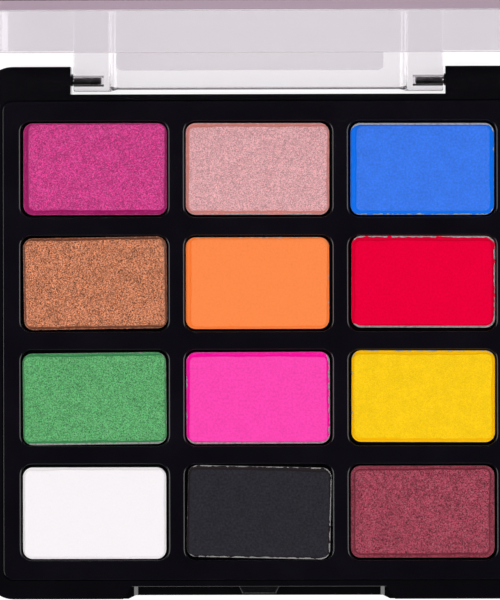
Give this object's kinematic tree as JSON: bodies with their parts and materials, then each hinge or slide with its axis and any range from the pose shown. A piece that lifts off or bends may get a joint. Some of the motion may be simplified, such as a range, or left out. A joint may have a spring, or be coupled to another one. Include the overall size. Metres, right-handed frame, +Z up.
{
  "type": "eyeshadow palette",
  "caption": "Flat rectangular make-up case with a clear hinged lid, an inner tray with rounded windows and a metal pan of pressed powder in each.",
  "frame": {"origin": "centre of the case's flat underside", "axes": "+X to the right along the hinge pins' axis, +Y from the front catch towards the hinge, +Z up"},
  "size_m": [0.0984, 0.1082, 0.0967],
  "materials": {
    "case_black": "moulded black plastic, glossy outside",
    "tray_black": "moulded black plastic, satin deck",
    "lid_clear": "clear moulded plastic, polished",
    "pin_steel": "drawn steel wire",
    "pan_metal": "pressed thin metal, bright rim",
    "glue_clear": "set hot-melt glue",
    "label_paper": "blank coated paper",
    "powder_magenta": "pressed powder with fine pearl",
    "powder_rose_beige": "pressed powder with fine pearl",
    "powder_blue": "matt pressed powder",
    "powder_bronze": "pressed powder with fine pearl",
    "powder_orange": "matt pressed powder",
    "powder_red": "matt pressed powder",
    "powder_green": "pressed powder with fine pearl",
    "powder_neon_pink": "matt pressed powder",
    "powder_yellow": "matt pressed powder",
    "powder_white": "matt pressed powder",
    "powder_black": "matt pressed powder",
    "powder_burgundy": "pressed powder with fine pearl"
  },
  "bodies": {
    "base": {"base_shell": "case_black", "inner_tray": "tray_black", "hinge_pin_left": "pin_steel", "hinge_pin_right": "pin_steel", "base_label": "label_paper", "pan_r1c1": "pan_metal", "powder_r1c1_magenta": "powder_magenta", "glue_r1c1": "glue_clear", "pan_r1c2": "pan_metal", "powder_r1c2_rose_beige": "powder_rose_beige", "glue_r1c2": "glue_clear", "pan_r1c3": "pan_metal", "powder_r1c3_blue": "powder_blue", "glue_r1c3": "glue_clear", "pan_r2c1": "pan_metal", "powder_r2c1_bronze": "powder_bronze", "glue_r2c1": "glue_clear", "pan_r2c2": "pan_metal", "powder_r2c2_orange": "powder_orange", "glue_r2c2": "glue_clear", "pan_r2c3": "pan_metal", "powder_r2c3_red": "powder_red", "glue_r2c3": "glue_clear", "pan_r3c1": "pan_metal", "powder_r3c1_green": "powder_green", "glue_r3c1": "glue_clear", "pan_r3c2": "pan_metal", "powder_r3c2_neon_pink": "powder_neon_pink", "glue_r3c2": "glue_clear", "pan_r3c3": "pan_metal", "powder_r3c3_yellow": "powder_yellow", "glue_r3c3": "glue_clear", "pan_r4c1": "pan_metal", "powder_r4c1_white": "powder_white", "glue_r4c1": "glue_clear", "pan_r4c2": "pan_metal", "powder_r4c2_black": "powder_black", "glue_r4c2": "glue_clear", "pan_r4c3": "pan_metal", "powder_r4c3_burgundy": "powder_burgundy", "glue_r4c3": "glue_clear"},
    "lid": {"lid": "lid_clear"}
  },
  "joints": [
    {"name": "lid_hinge", "type": "hinge", "parent": "base", "child": "lid", "pos_m": [0, 0.0457, 0.0026], "axis": [1, 0, 0], "range_deg": [0, 88]}
  ]
}
